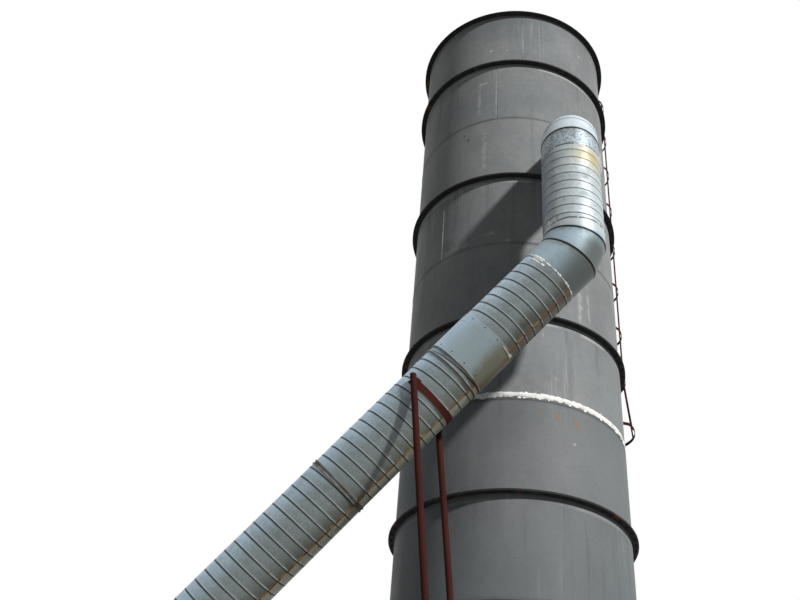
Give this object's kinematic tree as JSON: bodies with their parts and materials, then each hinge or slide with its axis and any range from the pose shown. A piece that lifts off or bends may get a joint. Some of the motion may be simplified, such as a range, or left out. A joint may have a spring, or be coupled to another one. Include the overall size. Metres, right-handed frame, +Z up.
{
  "type": "baghouse dust collector",
  "caption": "Tall round bag filter tower of flanged steel cans, with a galvanised spiral duct that rises on a strutted slope and enters the shell off centre, and a caged ladder.",
  "frame": {"origin": "centre of the tower's base ring, on the ground", "axes": "+Z up along the tower's axis; the sloping duct runs down towards -X, in a plane parallel to XZ on the tower's -Y side; +X by the right-hand rule"},
  "size_m": [5.1885, 5.0216, 17.19],
  "materials": {
    "shell_paint": "weathered dark grey paint",
    "flange_paint": "dark grey paint, dirty and chipped",
    "mastic": "white sealing mastic",
    "galvanised_duct": "galvanised, spangled, streaked",
    "galvanised_gores": "galvanised, bright and spangled",
    "galvanised_sleeve": "plain galvanised sheet",
    "weathered_rib": "dark weathered steel",
    "rusty_coupling": "rusty sheet steel",
    "red_primer": "dull red-brown primer"
  },
  "bodies": {
    "root": {"can_1": "shell_paint", "can_2": "shell_paint", "can_3": "shell_paint", "can_4": "shell_paint", "can_5": "shell_paint", "can_6": "shell_paint", "can_7": "shell_paint", "flange_1": "flange_paint", "flange_2": "flange_paint", "flange_3": "flange_paint", "flange_4": "flange_paint", "flange_5": "flange_paint", "flange_6": "flange_paint", "base_ring": "flange_paint", "top_ring": "flange_paint", "roof": "shell_paint", "floor_plate": "shell_paint", "seal_bead": "mastic", "inlet_run": "galvanised_duct", "top_elbow": "galvanised_gores", "vertical_duct": "galvanised_duct", "lower_elbow": "galvanised_gores", "upper_slope_duct": "galvanised_duct", "sleeve": "galvanised_sleeve", "sleeve_rib": "weathered_rib", "clamp_rib": "weathered_rib", "middle_slope_duct": "galvanised_duct", "coupling": "rusty_coupling", "lower_slope_duct": "galvanised_duct", "end_flange": "weathered_rib", "saddle_strap": "red_primer", "near_post": "red_primer", "far_post": "red_primer", "near_base_plate": "red_primer", "far_base_plate": "red_primer", "ladder": "red_primer", "cage_hoops": "red_primer", "cage_straps": "red_primer", "ladder_brackets": "red_primer", "grab_rails": "red_primer"}
  },
  "joints": []
}
